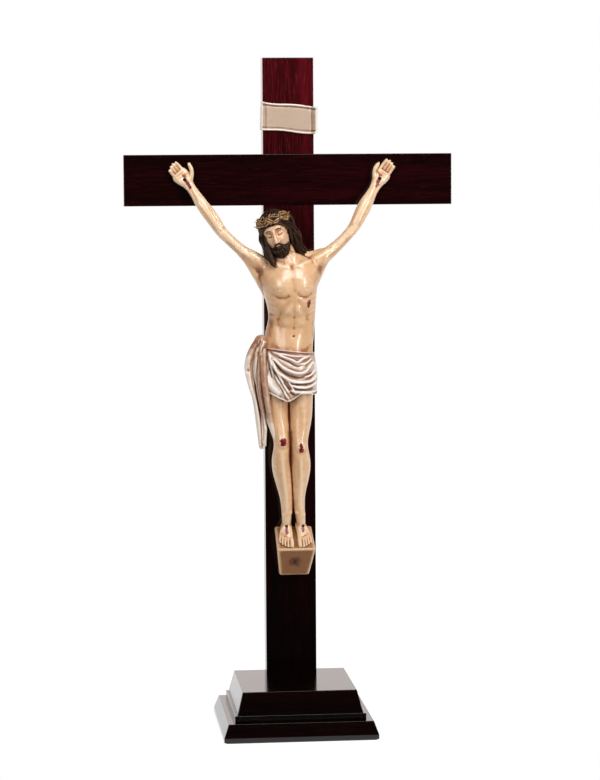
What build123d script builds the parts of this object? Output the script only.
from build123d import *
import math
import os

# Standing crucifix. Sizes are in millimetres, Z is up, the front faces -Y,
# and the origin lies under the middle of the base.

# Base boards, each set back from the edge of the board below it
FELT_THICKNESS = 1.0
FELT_MARGIN = 2.0
PLINTH_SIDE = 139.0
PLINTH_LIP = 4.1
PLINTH_BEVEL_RISE = 11.8
PLINTH_BEVEL_INSET = 4.3
STEP_INSET = 6.2
STEP_HEIGHT = 5.9
BLOCK_INSET = 2.3
BLOCK_HEIGHT = 20.0
BLOCK_LEAN = 5.2
WOOD_EDGE = 0.5

# Cross boards
BOARD_WIDTH = 46.5
BOARD_THICKNESS = 20.0
BAR_LENGTH = 300.0
POST_ABOVE_BAR = 87.25
POST_BACK_MARGIN = 4.5
TENON_WIDTH = 30.0
TENON_THICKNESS = 12.0
TENON_LENGTH = 14.0
TENON_CLEARANCE = 0.15

# Title scroll, its place taken from the top edge of the crossbar
SCROLL_ABOVE_BAR = 32.7
SCROLL_FLAT = 37.0
SCROLL_HEIGHT = 26.0
SCROLL_THICKNESS = 2.6
SCROLL_TILT = 4.9
SCROLL_CURL_RADIUS = 10.0
SCROLL_LEFT_CURL = 55.0
SCROLL_RIGHT_CURL = 62.0

# Foot block: how high it hangs over the base, and its top back edge below the crossbar's centre line
FOOT_BLOCK_LIFT = 94.7
FOOT_BLOCK_X = 2.0
FOOT_BLOCK_DROP = 318.0
FOOT_BLOCK_SLOPE = 25.0
FOOT_BLOCK_DEPTH = 36.0
FOOT_BLOCK_TOP_WIDTH = 34.4
FOOT_BLOCK_FRONT_WIDTH = 35.4
FOOT_BLOCK_FOOT_WIDTH = 27.0
FOOT_BLOCK_FOOT_DEPTH = 12.0
FOOT_BLOCK_HEIGHT = 44.0

# Figure: levels of chest and hips, loincloth layer, hair and crown of thorns
CHEST_DROP = 112.5
HIP_DROP = 182.0
WRAP_CLEARANCE = 0.35
WRAP_THICKNESS = 2.2
WRAP_ABOVE_HIPS = 30.0
WRAP_BELOW_HIPS = 17.5
HAIR_CAP_HALF_SIZES = (14.2, 16.9, 16.0)
CROWN_HEIGHT = 12.2
CROWN_SET_BACK = 3.4
CROWN_LEAN = 12.0
CROWN_CLEARANCE = 0.6
CROWN_TWIGS = 8
CROWN_TWIG_SPAN = 112.0
CROWN_TWIG_RADIUS = 0.9
CROWN_WEAVE = 0.35
CROWN_RISE = 3.0
CROWN_THORN_LENGTH = 4.0

# Fasteners
SCREW_SHANK = 3.5
SCREW_HEAD = 7.0
SCREW_HEAD_HEIGHT = 2.2
SCREW_TIP = 3.0
RECESS_SPAN = 3.8
RECESS_WIDTH = 0.9
RECESS_DEPTH = 1.2
BASE_SCREW_REACH = 38.0
BASE_SCREW_BITE = 11.0
TENON_SCREW_SPACING = 18.0
TENON_SCREW_BITE = 10.0
LAP_SCREW_SPACING = 24.0
LAP_SCREW_BITE = 7.0
CORPUS_SCREW_DROP = 160.0
CORPUS_SCREW_SPACING = 15.0
CORPUS_SCREW_BITE = 11.0
FOOT_SCREW_BELOW_TOP = 14.0
FOOT_SCREW_SPACING = 15.0
FOOT_SCREW_BITE = 9.0
SCROLL_PIN_DIAMETER = 2.0
SCROLL_PIN_SPACING = 22.0
SCROLL_PIN_IN_POST = 8.0
SCROLL_PIN_IN_SCROLL = 1.4
NAIL_SHANK = 1.7
NAIL_HEAD = 3.4
NAIL_HEAD_TOP = 2.1
NAIL_HEAD_HEIGHT = 1.1
NAIL_BITE = 8.0
PALM_OUT = 7.2
INSTEP_HEIGHT = 10.4
DOWEL_DIAMETER = 4.0
DOWEL_HALF_LENGTH = 6.5

# Heights and depths worked out from the sizes above
plinth_top_side = PLINTH_SIDE - 2 * PLINTH_BEVEL_INSET
step_side = plinth_top_side - 2 * STEP_INSET
block_side = step_side - 2 * BLOCK_INSET
block_top_side = block_side - 2 * BLOCK_LEAN
plinth_lip_z = FELT_THICKNESS + PLINTH_LIP
plinth_top_z = plinth_lip_z + PLINTH_BEVEL_RISE
step_top_z = plinth_top_z + STEP_HEIGHT
block_top_z = step_top_z + BLOCK_HEIGHT
post_back_y = block_top_side / 2 - POST_BACK_MARGIN
cross_front_y = post_back_y - BOARD_THICKNESS
cross_middle_y = (post_back_y + cross_front_y) / 2
lap_depth = BOARD_THICKNESS / 2
bar_centre_z = block_top_z + FOOT_BLOCK_LIFT + FOOT_BLOCK_HEIGHT + FOOT_BLOCK_DROP
cross_height = bar_centre_z + BOARD_WIDTH / 2 + POST_ABOVE_BAR
tenon_end_z = block_top_z - TENON_LENGTH
scroll_z = bar_centre_z + BOARD_WIDTH / 2 + SCROLL_ABOVE_BAR
wrap_top_drop = HIP_DROP - WRAP_ABOVE_HIPS
wrap_hem_drop = HIP_DROP + WRAP_BELOW_HIPS

# Screw rows: (x, y) from beneath and (x, z) from behind
base_screw_spots = [(x, y) for x in (-BASE_SCREW_REACH, BASE_SCREW_REACH)
                    for y in (-BASE_SCREW_REACH, BASE_SCREW_REACH)]
tenon_screw_spots = [(x, cross_middle_y) for x in (-TENON_SCREW_SPACING / 2, TENON_SCREW_SPACING / 2)]
lap_screw_spots = [(x, bar_centre_z) for x in (-LAP_SCREW_SPACING / 2, LAP_SCREW_SPACING / 2)]
corpus_screw_spots = [(0.0, bar_centre_z - CORPUS_SCREW_DROP - i * CORPUS_SCREW_SPACING) for i in (0, 1)]
foot_screw_z = bar_centre_z - FOOT_BLOCK_DROP - FOOT_SCREW_BELOW_TOP
foot_screw_spots = [(FOOT_BLOCK_X + i * FOOT_SCREW_SPACING / 2, foot_screw_z) for i in (-1, 1)]
scroll_pin_spots = [(x, scroll_z) for x in (-SCROLL_PIN_SPACING / 2, SCROLL_PIN_SPACING / 2)]

# The figure is shaped in a frame of its own: x across, "out" forward from the
# face of the cross, and "drop" down from the crossbar's centre line.
figure_place = Pos(0, cross_front_y, bar_centre_z)

STANDING = (Align.CENTER, Align.CENTER, Align.MIN)
HANGING = (Align.CENTER, Align.CENTER, Align.MAX)


def figure_point(x, out, drop):
    return Vector(x, -out, -drop)


def section(centre, along, half_width, half_depth):
    """Ellipse square to a direction, its width kept in the plane of the cross."""
    across = along.cross(Vector(0, 1, 0))
    plane = Plane(origin=centre, x_dir=across, z_dir=along)
    return plane * Ellipse(half_width, half_depth)


def evenly_spaced(stations):
    """The same run of stations, eased from one to the next, at equal steps of length."""
    points = [figure_point(*station[:3]) for station in stations]
    reach = [0.0]
    for a, b in zip(points, points[1:]):
        reach.append(reach[-1] + (b - a).length)

    def slope(i, k):
        low, high = max(i - 1, 0), min(i + 1, len(stations) - 1)
        return (stations[high][k] - stations[low][k]) / (reach[high] - reach[low])

    def value(i, k, share):
        span = reach[i + 1] - reach[i]
        a, b = stations[i][k], stations[i + 1][k]
        ease = share * share * (3 - 2 * share)
        leaving = share * (1 - share) * (1 - share) * slope(i, k)
        arriving = share * share * (1 - share) * slope(i + 1, k)
        return a + (b - a) * ease + (leaving - arriving) * span

    steps = len(stations)
    even = [stations[0]]
    for j in range(1, steps):
        place = reach[-1] * j / steps
        i = max(n for n in range(len(stations) - 1) if reach[n] <= place)
        share = (place - reach[i]) / (reach[i + 1] - reach[i])
        even.append(tuple(value(i, k, share) for k in range(5)))
    return even + [stations[-1]]


def limb(stations):
    """Smooth solid through ellipses; a station is (x, out, drop, half width, half depth)."""
    run = evenly_spaced(stations)
    points = [figure_point(*station[:3]) for station in run]
    sections = []
    ways = [after - before for before, after in zip(points, points[2:])]
    first_way = figure_point(*stations[1][:3]) - points[0]
    last_way = points[-1] - figure_point(*stations[-2][:3])
    for centre, way, station in zip(points, [first_way] + ways + [last_way], run):
        sections.append(section(centre, way, station[3], station[4]))
    return loft(sections)


def round_tipped(start, bend, end, radius):
    """Slender solid that swells a little from its root and ends in a rounded tip."""
    a, b, c = Vector(*start), Vector(*bend), Vector(*end)
    near_tip = b + (c - b) * 0.82
    last = b + (c - b) * 0.97
    return limb([(*a, radius, radius), (*b, radius * 1.04, radius * 1.04),
                 (*near_tip, radius * 0.86, radius * 0.86), (*last, radius * 0.55, radius * 0.55),
                 (*c, radius * 0.2, radius * 0.2)])


def ellipsoid(centre, half_sizes):
    return Pos(*centre) * scale(Sphere(1), by=half_sizes)


def join(solids):
    joined = solids[0]
    for solid in solids[1:]:
        joined += solid
    return joined


# Screws, nails, pins and dowels

def screw(length):
    """Countersunk wood screw along +Z, the flat of its head at z = 0."""
    shank_length = length - SCREW_HEAD_HEIGHT - SCREW_TIP
    head = Cone(SCREW_HEAD / 2, SCREW_SHANK / 2, SCREW_HEAD_HEIGHT, align=STANDING)
    shank = Pos(0, 0, SCREW_HEAD_HEIGHT) * Cylinder(SCREW_SHANK / 2, shank_length, align=STANDING)
    tip = Pos(0, 0, length - SCREW_TIP) * Cone(SCREW_SHANK / 2, SCREW_SHANK / 10, SCREW_TIP, align=STANDING)
    return head + shank + tip


def screw_recess():
    slot = Box(RECESS_SPAN, RECESS_WIDTH, RECESS_DEPTH, align=STANDING)
    return slot + Rot(0, 0, 90) * slot


def from_beneath(spot):
    return Pos(spot[0], spot[1], FELT_THICKNESS)


def from_behind(spot):
    return Pos(spot[0], post_back_y, spot[1]) * Rot(90, 0, 0)


def screw_group(places, length):
    """Solid screws for cutting their holes, and the same screws with their cross slots."""
    cutters = [place * screw(length) for place in places]
    screws = [place * (screw(length) - screw_recess()) for place in places]
    return cutters, Compound(children=[s.solid() for s in screws])


def nail(head_place, length):
    """Round-headed nail along -Z of its place; its head sits on top of that plane."""
    shank = Pos(0, 0, -length) * Cylinder(NAIL_SHANK / 2, length, align=STANDING)
    head = Cone(NAIL_HEAD / 2, NAIL_HEAD_TOP / 2, NAIL_HEAD_HEIGHT, align=STANDING)
    return head_place * (shank + head)


def dowel(start, end):
    """Peg centred between two points of the figure and lying along them."""
    a, b = figure_point(*start), figure_point(*end)
    peg_place = Plane(origin=(a + b) / 2, z_dir=b - a).location
    return figure_place * peg_place * Cylinder(DOWEL_DIAMETER / 2, 2 * DOWEL_HALF_LENGTH)


# Wooden base and cross

def square_board(side, top_side, bottom_z, height):
    board = loft([Pos(0, 0, bottom_z) * Rectangle(side, side),
                  Pos(0, 0, bottom_z + height) * Rectangle(top_side, top_side)], ruled=True)
    return board


def base_felt():
    side = PLINTH_SIDE - 2 * FELT_MARGIN
    return square_board(side, side, 0, FELT_THICKNESS)


def base_plinth():
    lip = square_board(PLINTH_SIDE, PLINTH_SIDE, FELT_THICKNESS, PLINTH_LIP)
    bevel = square_board(PLINTH_SIDE, plinth_top_side, plinth_lip_z, PLINTH_BEVEL_RISE)
    plinth = lip + bevel
    return fillet(plinth.edges(), WOOD_EDGE)


def base_step():
    board = square_board(step_side, step_side, plinth_top_z, STEP_HEIGHT)
    upper = board.edges().filter_by(GeomType.LINE).group_by(Axis.Z)[1:]
    return fillet([edge for group in upper for edge in group], WOOD_EDGE)


def base_block():
    board = square_board(block_side, block_top_side, step_top_z, BLOCK_HEIGHT)
    upper = board.edges().group_by(Axis.Z)[1:]
    block = fillet([edge for group in upper for edge in group], WOOD_EDGE)
    mortise = Box(TENON_WIDTH + 2 * TENON_CLEARANCE, TENON_THICKNESS + 2 * TENON_CLEARANCE,
                  TENON_LENGTH + TENON_CLEARANCE, align=HANGING)
    return block - Pos(0, cross_middle_y, block_top_z) * mortise


def lap_space(depth_sign):
    """Half of the crossing, in front of (-1) or behind (+1) the middle of the boards."""
    y = cross_middle_y + depth_sign * lap_depth / 2
    return Pos(0, y, bar_centre_z) * Box(BOARD_WIDTH, lap_depth, BOARD_WIDTH)


def upright():
    length = cross_height - block_top_z
    board = Pos(0, cross_middle_y, block_top_z + length / 2) * Box(BOARD_WIDTH, BOARD_THICKNESS, length)
    upper = board.edges().group_by(Axis.Z)[1:]
    post = fillet([edge for group in upper for edge in group], WOOD_EDGE)
    tenon = Pos(0, cross_middle_y, block_top_z) * Box(
        TENON_WIDTH, TENON_THICKNESS, TENON_LENGTH, align=HANGING)
    return post + tenon - lap_space(-1)


def crossbar():
    board = Pos(0, cross_middle_y, bar_centre_z) * Box(BAR_LENGTH, BOARD_THICKNESS, BOARD_WIDTH)
    return fillet(board.edges(), WOOD_EDGE) - lap_space(1)


# Title scroll and foot block

def scroll_curl(side, angle):
    """Curled end of the scroll in plan; side is -1 or +1."""
    outer = SCROLL_CURL_RADIUS
    inner = outer - SCROLL_THICKNESS
    start = side * SCROLL_FLAT / 2

    def on_arc(radius, degrees):
        turn = math.radians(degrees)
        return (start + side * radius * math.sin(turn), -(outer - radius * math.cos(turn)))

    outline = [ThreePointArc(on_arc(outer, 0), on_arc(outer, angle / 2), on_arc(outer, angle)),
               Line(on_arc(outer, angle), on_arc(inner, angle)),
               ThreePointArc(on_arc(inner, angle), on_arc(inner, angle / 2), on_arc(inner, 0)),
               Line(on_arc(inner, 0), on_arc(outer, 0))]
    return extrude(make_face(outline), SCROLL_HEIGHT / 2, both=True)


def title_scroll():
    middle = Box(SCROLL_FLAT, SCROLL_THICKNESS, SCROLL_HEIGHT, align=(Align.CENTER, Align.MAX, Align.CENTER))
    scroll = middle + scroll_curl(-1, SCROLL_LEFT_CURL) + scroll_curl(1, SCROLL_RIGHT_CURL)
    return Pos(0, cross_front_y, scroll_z) * Rot(0, SCROLL_TILT, 0) * scroll


def sole_drop(out):
    """How far the sloping top of the foot block lies below the crossbar's centre line."""
    return FOOT_BLOCK_DROP + out * math.tan(math.radians(FOOT_BLOCK_SLOPE))


def foot_block():
    def corners(half_back, half_front, out, back_drop, front_drop):
        return [figure_point(FOOT_BLOCK_X - half_back, 0, back_drop),
                figure_point(FOOT_BLOCK_X + half_back, 0, back_drop),
                figure_point(FOOT_BLOCK_X + half_front, out, front_drop),
                figure_point(FOOT_BLOCK_X - half_front, out, front_drop)]

    low = FOOT_BLOCK_DROP + FOOT_BLOCK_HEIGHT
    top = corners(FOOT_BLOCK_TOP_WIDTH / 2, FOOT_BLOCK_FRONT_WIDTH / 2, FOOT_BLOCK_DEPTH,
                  FOOT_BLOCK_DROP, sole_drop(FOOT_BLOCK_DEPTH))
    foot = corners(FOOT_BLOCK_FOOT_WIDTH / 2, FOOT_BLOCK_FOOT_WIDTH / 2, FOOT_BLOCK_FOOT_DEPTH, low, low)
    faces = [make_face(Polyline(*ring, close=True)) for ring in (foot, top)]
    return loft(faces, ruled=True)


# Figure: the legs meet the torso on a level plane that the loincloth hides

def belly_drop(share):
    """Level between the chest and the hips."""
    return CHEST_DROP + share * (HIP_DROP - CHEST_DROP)


def leg_drop(share):
    """Level between the hips and the foot block."""
    return HIP_DROP + share * (FOOT_BLOCK_DROP - HIP_DROP)


torso_stations = [
    (-2.0, 17.0, 68.5, 10.5, 9.5),
    (-1.8, 18.0, 73.0, 19.0, 12.0),
    (-1.5, 19.0, 78.5, 26.0, 15.0),
    (-1.3, 20.5, 87.5, 27.2, 17.5),
    (-1.0, 21.5, 99.5, 24.6, 18.8),
    (0.0, 20.8, CHEST_DROP, 22.4, 17.6),
    (0.3, 18.8, belly_drop(0.187), 21.2, 15.6),
    (-1.5, 17.6, belly_drop(0.388), 22.0, 15.4),
    (-3.0, 17.4, belly_drop(0.604), 22.4, 17.0),
    (-3.2, 17.8, belly_drop(0.827), 23.2, 18.6),
    (-3.2, 17.8, HIP_DROP, 22.8, 17.4),
]


def torso():
    return limb(torso_stations)


def foot(ankle_x, toe_x):
    """Foot that rests on the slope and rounds off at the toes."""
    def on_sole(x, out, height, half_width, half_height):
        return x, out, sole_drop(out) - height, half_width, half_height

    middle_x = (ankle_x + toe_x) / 2
    return limb([on_sole(ankle_x, 3.2, 5.0, 2.2, 2.6),
                 on_sole(ankle_x, 7.0, 5.2, 4.6, 5.4),
                 on_sole(middle_x, 17.0, 4.6, 5.8, 6.0),
                 on_sole(toe_x, 26.0, 2.4, 6.9, 3.8),
                 on_sole(toe_x, 32.0, 1.6, 6.7, 2.7),
                 on_sole(toe_x, 35.4, 1.4, 4.6, 1.5)])


def right_leg_raw():
    leg = limb([(-14.55, 18.4, HIP_DROP, 11.05, 14.6),
                (-14.55, 18.4, leg_drop(0.132), 11.25, 13.5),
                (-13.1, 20.5, leg_drop(0.261), 9.9, 11.5),
                (-10.1, 23.5, leg_drop(0.393), 7.5, 9.0),
                (-10.1, 23.0, leg_drop(0.460), 7.5, 8.6),
                (-10.7, 20.0, leg_drop(0.551), 8.5, 9.5),
                (-8.4, 18.0, leg_drop(0.662), 7.6, 8.5),
                (-5.0, 15.5, leg_drop(0.831), 5.4, 5.6),
                (-5.0, 14.0, leg_drop(0.915), 4.8, 6.0),
                (-5.0, 12.5, FOOT_BLOCK_DROP - 1.0, 3.4, 4.4)])
    return leg + foot(-5.0, -6.6)


def left_leg_raw():
    leg = limb([(8.25, 18.4, HIP_DROP, 10.75, 14.6),
                (8.25, 18.4, leg_drop(0.132), 10.95, 13.5),
                (7.5, 20.5, leg_drop(0.261), 10.1, 11.5),
                (6.1, 23.5, leg_drop(0.393), 8.1, 9.0),
                (6.1, 23.0, leg_drop(0.460), 8.1, 8.6),
                (7.7, 20.0, leg_drop(0.551), 9.3, 9.5),
                (7.35, 18.0, leg_drop(0.662), 7.55, 8.5),
                (6.15, 15.5, leg_drop(0.831), 5.15, 5.6),
                (7.6, 14.0, leg_drop(0.915), 4.8, 6.0),
                (8.0, 12.5, FOOT_BLOCK_DROP - 1.0, 3.4, 4.4)])
    return leg + foot(8.0, 11.2)


def arm(stations, knuckle, finger_way, thumb_way, lengths, thumb):
    """Arm with its open palm, four fingers side by side and a thumb."""
    solids = [limb(stations)]
    finger_pitch = 3.05
    for i, length in enumerate(lengths):
        offset = (1.5 - i) * finger_pitch
        root = [knuckle[0] + offset * thumb_way[0], knuckle[1], knuckle[2] + offset * thumb_way[1]]
        inside = (root[0] - 2.5 * finger_way[0], root[1] - 0.3, root[2] - 2.5 * finger_way[1])
        half = 0.45 * length
        bend = (root[0] + half * finger_way[0], root[1] + 0.6, root[2] + half * finger_way[1])
        end = (root[0] + length * finger_way[0], root[1] + 3.0, root[2] + length * finger_way[1])
        solids.append(round_tipped(inside, bend, end, 1.6))
    solids.append(round_tipped(*thumb, 1.9))
    return join(solids)


def right_arm_raw():
    stations = [(-21.0, 19.0, 80.5, 6.6, 8.0),
                (-31.0, 18.5, 72.5, 6.9, 7.6),
                (-44.5, 16.5, 63.5, 5.3, 5.8),
                (-55.0, 15.0, 54.0, 4.9, 5.2),
                (-62.8, 14.0, 46.0, 5.2, 5.0),
                (-70.5, 12.8, 34.5, 6.0, 5.4),
                (-79.0, 11.0, 22.8, 5.7, 4.8),
                (-86.0, 8.4, 11.8, 4.5, 3.7),
                (-88.8, 6.6, 7.5, 4.4, 3.5),
                (-92.8, 4.4, 2.2, 6.0, 3.6),
                (-97.3, 3.5, -3.2, 6.9, 3.7),
                (-101.0, 3.5, -7.3, 6.5, 3.2)]
    return arm(stations, (-100.6, 3.6, -7.0), (-0.67, -0.74), (0.74, -0.67), (9.4, 10.4, 9.6, 8.0),
               ((-89.0, 4.6, -0.5), (-88.6, 6.0, -8.5), (-91.5, 7.0, -16.6)))


def left_arm_raw():
    stations = [(18.0, 19.0, 79.5, 6.6, 8.0),
                (28.5, 18.5, 71.0, 6.9, 7.6),
                (41.5, 16.5, 60.5, 5.3, 5.8),
                (51.5, 15.0, 51.0, 4.9, 5.2),
                (58.2, 14.0, 43.0, 5.3, 5.0),
                (64.0, 12.8, 32.5, 6.2, 5.4),
                (69.3, 11.0, 22.7, 6.2, 4.8),
                (75.0, 8.4, 13.0, 4.8, 3.7),
                (77.5, 6.6, 9.0, 4.5, 3.5),
                (80.6, 4.4, 3.5, 6.2, 3.6),
                (84.2, 3.5, -2.2, 6.9, 3.7),
                (87.6, 3.5, -7.0, 6.5, 3.2)]
    return arm(stations, (87.4, 3.6, -6.8), (0.576, -0.816), (-0.816, -0.576), (11.2, 12.0, 11.4, 10.0),
               ((78.0, 4.6, -1.0), (78.6, 6.4, -9.0), (82.6, 7.2, -15.7)))


# Head, in its own frame with the face towards -Y, then tilted forward and to the figure's right
head_place = Pos(figure_point(-13.4, 24.0, 47.5)) * Rot(0, -21, 0) * Rot(8, 0, 0) * Rot(0, 0, -14)


def neck():
    return limb([(-1.8, 16.5, 78.0, 9.5, 9.0),
                 (-3.0, 17.5, 70.0, 9.0, 8.8),
                 (-7.0, 19.5, 61.0, 8.4, 8.6),
                 (-11.0, 21.5, 52.0, 8.4, 8.6)])


def head_raw():
    skull = ellipsoid((0, 1.5, 4.0), (12.8, 15.8, 15.0))
    face = ellipsoid((0, -4.5, -3.5), (10.2, 11.6, 13.4))
    nose = ellipsoid((0, -15.6, -2.4), (2.1, 2.9, 4.2))
    return head_place * (skull + face + nose) + neck()


hair_cap_centre = (0, 2.2, 4.6)


def hair_raw():
    cap = ellipsoid(hair_cap_centre, HAIR_CAP_HALF_SIZES)
    hairline = Pos(0, -14.5, -1.0) * Box(40, 16, 21)
    beard = ellipsoid((0, -8.2, -12.4), (8.4, 8.4, 7.4))
    mouth_space = Pos(0, -18.0, -5.0) * Box(30, 20, 9)
    mass = head_place * (cap - hairline) + head_place * (beard - mouth_space)
    right_lock = limb([(-22.5, 22.0, 46.0, 5.2, 8.0),
                       (-22.8, 24.0, 54.0, 5.2, 7.4),
                       (-21.6, 27.0, 62.0, 4.6, 6.2),
                       (-19.0, 31.5, 70.0, 3.4, 4.4),
                       (-15.6, 35.5, 78.0, 1.0, 1.2)])
    left_lock = limb([(-1.0, 19.0, 42.0, 5.4, 7.5),
                      (2.2, 18.5, 50.0, 5.2, 7.5),
                      (5.6, 17.5, 58.0, 4.8, 6.5),
                      (9.0, 16.0, 66.0, 4.2, 5.2),
                      (11.6, 15.0, 74.0, 3.4, 4.2),
                      (13.0, 14.5, 82.0, 2.0, 2.6)])
    back_lock = limb([(-12.0, 14.0, 46.0, 13.0, 7.0),
                      (-9.0, 11.0, 58.0, 13.0, 6.5),
                      (-5.0, 9.5, 68.0, 12.0, 5.0),
                      (-3.0, 9.0, 76.0, 9.0, 3.0)])
    return join([mass, right_lock, left_lock, back_lock])


# Crown of thorns: twigs that cross over each other round the hair

def crown_point(degrees, outward, rise):
    """Point of the crown in its leaning frame: it hugs the cap of hair at every height."""
    turn = math.radians(degrees)
    across, deep, tall = HAIR_CAP_HALF_SIZES
    above_cap = CROWN_HEIGHT - hair_cap_centre[2] + rise
    narrowing = math.sqrt(1 - (above_cap / tall) ** 2)
    reach = (CROWN_CLEARANCE + CROWN_TWIG_RADIUS + CROWN_WEAVE) / narrowing + outward
    half_across, half_deep = across * narrowing + reach, deep * narrowing + reach
    return Vector(half_across * math.cos(turn), half_deep * math.sin(turn), rise)


def on_twig(twig, share):
    """Point along a twig: odd ones climb on the outer side of the weave, even ones fall on the inner."""
    slant = 1 if twig % 2 else -1
    degrees = 360.0 * twig / CROWN_TWIGS + CROWN_TWIG_SPAN * share
    return crown_point(degrees, slant * CROWN_WEAVE, slant * CROWN_RISE * (2 * share - 1))


def crown_twig(twig):
    steps = 6
    sections = []
    for i in range(steps + 1):
        here = on_twig(twig, i / steps)
        way = on_twig(twig, i / steps + 0.01) - here
        sections.append(Plane(origin=here, x_dir=(0, 0, 1), z_dir=way) * Circle(CROWN_TWIG_RADIUS))
    return loft(sections)


def crown_thorn(twig, share, turn_by):
    root = on_twig(twig, share)
    outward = Vector(root.X, root.Y, 0).normalized()
    way = outward + Vector(-outward.Y, outward.X, 0) * turn_by + Vector(0, 0, turn_by)
    place = Plane(origin=root, z_dir=way).location
    return place * Cone(CROWN_TWIG_RADIUS * 0.7, CROWN_TWIG_RADIUS * 0.1, CROWN_THORN_LENGTH,
                        align=STANDING)


def crown_of_thorns():
    twigs = [crown_twig(twig) for twig in range(CROWN_TWIGS)]
    thorns = [crown_thorn(twig, share, turn_by) for twig in range(CROWN_TWIGS)
              for share, turn_by in ((0.3, 0.5), (0.68, -0.45))]
    crown_place = Pos(0, CROWN_SET_BACK, CROWN_HEIGHT) * Rot(-CROWN_LEAN, 0, 0)
    return figure_place * head_place * crown_place * join(twigs + thorns)


# Loincloth: a wrap with swags across the front, and a knot with a hanging end

hip_layer_stations = torso_stations[-6:-2] + [
    (-3.2, 17.8, belly_drop(0.813), 24.2, 19.0),
    (-3.2, 17.8, HIP_DROP, 25.0, 19.6),
    (-3.2, 17.8, HIP_DROP + 28.0, 24.0, 17.6),
]


def hip_layer(grow):
    """Solid that follows the waist at a distance and widens over the hips and thighs."""
    return limb([(x, out, drop, width + grow, depth + grow)
                 for x, out, drop, width, depth in hip_layer_stations])


# Edges of the wrap from the figure's right to its left: place across, and height over the lowest hem
wrap_hem = [(-32.0, 12.5), (-27.0, 10.4), (-19.5, 6.9), (-9.7, 1.7), (-4.4, 0.0), (1.8, 3.5),
            (7.1, 7.3), (14.2, 6.5), (19.5, 5.2), (26.0, 9.5), (30.0, 12.0)]
wrap_top_rise = 1.5
wrap_top_fall = 5.5


def wrap():
    """Cloth layer round the hips, cut to its slanting top line and its curved hem."""
    layer = hip_layer(WRAP_CLEARANCE + WRAP_THICKNESS) - hip_layer(WRAP_CLEARANCE)
    hem = [(x, rise - wrap_hem_drop) for x, rise in wrap_hem]
    right_top = (hem[0][0], wrap_top_rise - wrap_top_drop)
    left_top = (hem[-1][0], -wrap_top_fall - wrap_top_drop)
    outline = make_face(Spline(*hem) + Polyline(hem[-1], left_top, right_top, hem[0]))
    return layer & extrude(Plane.XZ * outline, 100)


def wrap_front(x):
    """How far out the face of the wrap lies at a place across the hips."""
    hip_x, hip_out, _, hip_width, hip_depth = hip_layer_stations[-3]
    layer = WRAP_CLEARANCE + WRAP_THICKNESS
    share = max(0.0, 1 - ((x - hip_x) / (hip_width + layer)) ** 2)
    return hip_out + (hip_depth + layer) * math.sqrt(share)


def swag(start, end, sag, thickness):
    """Fold from the figure's right hip across to the left one, half sunk in the wrap."""
    stations = []
    for x in (-24.0, -18.0, -9.5, 0.0, 9.0, 16.0, 20.0):
        share = (x + 24.0) / 44.0
        below_top = start + (end - start) * share + sag * math.sin(math.pi * share)
        size = thickness * (0.5 + 0.5 * math.sin(math.pi * (0.1 + 0.8 * share)))
        stations.append((x, wrap_front(x), wrap_top_drop + below_top, size, size * 0.8))
    return limb(stations)


def swags():
    rows = [(1.5, 4.5, 2.0, 2.3), (3.0, 13.0, 7.0, 2.2), (6.0, 22.0, 12.0, 2.3),
            (10.0, 31.0, 15.0, 2.1), (16.0, 38.0, 16.0, 1.9)]
    return [swag(*row) for row in rows]


def hanging_fold(stations):
    """Fold of the loose end; its stations give how far they lie below the wrap's top line."""
    return limb([(x, out, wrap_top_drop + below, width, depth) for x, out, below, width, depth in stations])


def loincloth_fall_raw():
    knot = ellipsoid(figure_point(-28.5, 24.5, wrap_top_drop - 5.0), (6.4, 7.0, 7.6))
    outer_fold = hanging_fold([(-29.0, 22.0, -4.0, 3.6, 4.4),
                               (-36.0, 21.5, 8.0, 4.4, 5.0),
                               (-38.0, 22.0, 21.0, 4.0, 4.6),
                               (-34.0, 23.0, 38.0, 3.2, 4.0),
                               (-30.8, 23.5, 56.0, 2.9, 3.6),
                               (-29.4, 23.5, 76.0, 2.6, 3.2),
                               (-28.2, 23.0, 92.0, 1.6, 2.0)])
    middle_fold = hanging_fold([(-28.0, 27.0, -3.0, 3.4, 4.0),
                                (-31.5, 28.0, 10.0, 4.0, 4.4),
                                (-32.0, 28.5, 24.0, 3.6, 4.0),
                                (-29.0, 29.0, 42.0, 3.0, 3.6),
                                (-27.0, 28.5, 60.0, 2.8, 3.4),
                                (-26.2, 27.5, 78.0, 2.4, 3.0),
                                (-25.6, 26.5, 89.0, 1.4, 1.8)])
    inner_fold = hanging_fold([(-27.0, 30.0, 0.0, 3.0, 3.4),
                               (-27.0, 33.0, 14.0, 3.2, 3.6),
                               (-26.0, 33.5, 30.0, 3.0, 3.4),
                               (-23.6, 33.5, 48.0, 2.8, 3.2),
                               (-21.0, 32.5, 64.0, 2.6, 3.0),
                               (-18.4, 30.5, 77.0, 1.9, 2.2),
                               (-16.8, 29.5, 83.0, 0.9, 1.1)])
    return join([knot, outer_fold, middle_fold, inner_fold])


# Nail places: each hand's nail enters along the depth, each foot's nail square to its slope

def hand_nail_place(x, drop, palm_out):
    return figure_place * Pos(figure_point(x, palm_out, drop)) * Rot(90, 0, 0)


def foot_nail_place(x, out, height):
    return figure_place * Pos(figure_point(x, out, sole_drop(out) - height)) * Rot(FOOT_BLOCK_SLOPE, 0, 0)


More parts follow.
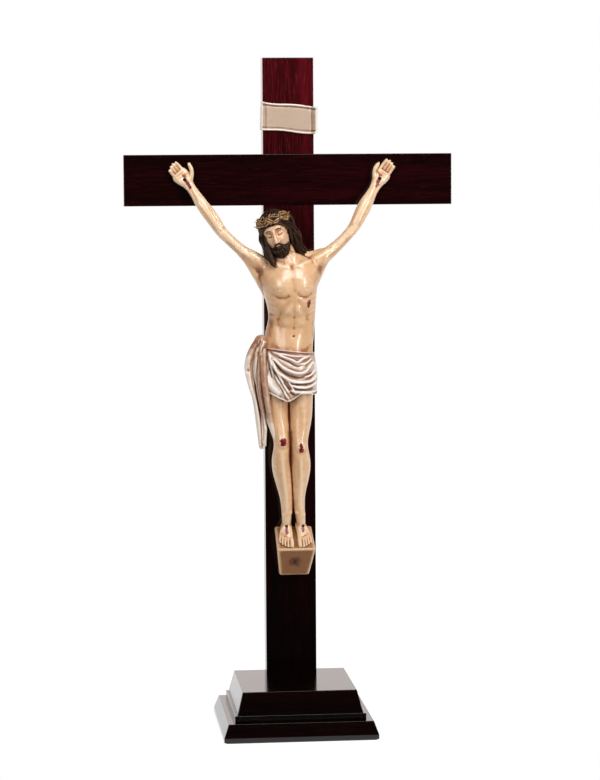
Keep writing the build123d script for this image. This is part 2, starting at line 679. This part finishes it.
nails = {
    "nail_right_hand": nail(hand_nail_place(-95.0, -0.6, PALM_OUT), PALM_OUT + NAIL_BITE),
    "nail_left_hand": nail(hand_nail_place(83.0, -0.6, PALM_OUT), PALM_OUT + NAIL_BITE),
    "nail_right_foot": nail(foot_nail_place(-5.6, 18.0, INSTEP_HEIGHT), INSTEP_HEIGHT + NAIL_BITE),
    "nail_left_foot": nail(foot_nail_place(9.6, 18.0, INSTEP_HEIGHT), INSTEP_HEIGHT + NAIL_BITE),
}
dowels = {
    "shoulder_dowel_right": dowel((-21.0, 19.0, 80.5), (-34.0, 18.2, 70.5)),
    "shoulder_dowel_left": dowel((18.0, 19.0, 79.5), (31.0, 18.2, 68.5)),
    "neck_dowel": dowel((-2.4, 17.0, 79.0), (-4.5, 18.2, 67.0)),
    "hip_dowel_right": dowel((-14.0, 18.4, HIP_DROP - 6.0), (-14.0, 18.4, HIP_DROP + 6.0)),
    "hip_dowel_left": dowel((8.0, 18.4, HIP_DROP - 6.0), (8.0, 18.4, HIP_DROP + 6.0)),
    "knot_dowel": dowel((-16.0, 20.0, wrap_top_drop - 3.0), (-31.0, 23.5, wrap_top_drop - 3.0)),
}

# Screw groups
base_screw_length = step_top_z + BASE_SCREW_BITE - FELT_THICKNESS
tenon_screw_length = tenon_end_z + TENON_SCREW_BITE - FELT_THICKNESS
lap_screw_length = lap_depth + LAP_SCREW_BITE
corpus_screw_length = BOARD_THICKNESS + CORPUS_SCREW_BITE
foot_screw_length = BOARD_THICKNESS + FOOT_SCREW_BITE
base_cut, base_screws = screw_group([from_beneath(s) for s in base_screw_spots], base_screw_length)
tenon_cut, tenon_screws = screw_group([from_beneath(s) for s in tenon_screw_spots], tenon_screw_length)
lap_cut, lap_screws = screw_group([from_behind(s) for s in lap_screw_spots], lap_screw_length)
corpus_cut, corpus_screws = screw_group([from_behind(s) for s in corpus_screw_spots], corpus_screw_length)
foot_cut, foot_block_screws = screw_group([from_behind(s) for s in foot_screw_spots], foot_screw_length)


def scroll_pin(spot):
    length = SCROLL_PIN_IN_POST + SCROLL_PIN_IN_SCROLL
    pin = Cylinder(SCROLL_PIN_DIAMETER / 2, length, align=STANDING)
    return Pos(spot[0], cross_front_y + SCROLL_PIN_IN_POST, spot[1]) * Rot(90, 0, 0) * pin


pins = [scroll_pin(spot) for spot in scroll_pin_spots]


def cut(solid, cutters):
    for cutter in cutters:
        solid -= cutter
    return solid


# Everything of the figure stays in front of the cross and above the foot block
behind_face = figure_place * Box(cross_height, cross_height, 2 * cross_height,
                                 align=(Align.CENTER, Align.MIN, Align.CENTER))
block = figure_place * foot_block()
body = figure_place * torso() - behind_face
right_leg = figure_place * right_leg_raw() - block
left_leg = figure_place * left_leg_raw() - block
right_arm = cut(figure_place * right_arm_raw(), [behind_face, body])
left_arm = cut(figure_place * left_arm_raw(), [behind_face, body])
head = figure_place * head_raw() - body
hair = cut(figure_place * hair_raw(), [behind_face, head, body, right_arm, left_arm])
cloth = figure_place * join([wrap()] + swags())
fall = cut(figure_place * loincloth_fall_raw(), [cloth, body, right_leg])

nodes = {
    "base_felt": base_felt(),
    "base_plinth": cut(base_plinth(), base_cut + tenon_cut),
    "base_step": cut(base_step(), base_cut + tenon_cut),
    "base_block": cut(base_block(), base_cut + tenon_cut),
    "upright": cut(upright(), tenon_cut + lap_cut + corpus_cut + foot_cut + pins),
    "crossbar": cut(crossbar(), lap_cut + [nails["nail_right_hand"], nails["nail_left_hand"]]),
    "title_scroll": cut(title_scroll(), pins),
    "foot_block": cut(block, foot_cut + [nails["nail_right_foot"], nails["nail_left_foot"]]),
    "corpus_torso": cut(body, corpus_cut + list(dowels.values())),
    "corpus_head": head - dowels["neck_dowel"],
    "corpus_hair": hair,
    "right_arm": cut(right_arm, [dowels["shoulder_dowel_right"], nails["nail_right_hand"]]),
    "left_arm": cut(left_arm, [dowels["shoulder_dowel_left"], nails["nail_left_hand"]]),
    "right_leg": cut(right_leg, [dowels["hip_dowel_right"], nails["nail_right_foot"]]),
    "left_leg": cut(left_leg, [dowels["hip_dowel_left"], nails["nail_left_foot"]]),
    "crown_of_thorns": crown_of_thorns(),
    "loincloth": cloth - dowels["knot_dowel"],
    "loincloth_fall": fall - dowels["knot_dowel"],
    "base_screws": base_screws,
    "tenon_screws": tenon_screws,
    "lap_screws": lap_screws,
    "corpus_screws": corpus_screws,
    "foot_block_screws": foot_block_screws,
    "scroll_pins": Compound(children=[pin.solid() for pin in pins]),
    **nails,
    **dowels,
}

os.makedirs("parts", exist_ok=True)
for name, shape in nodes.items():
    export_step(shape, f"parts/{name}.step")
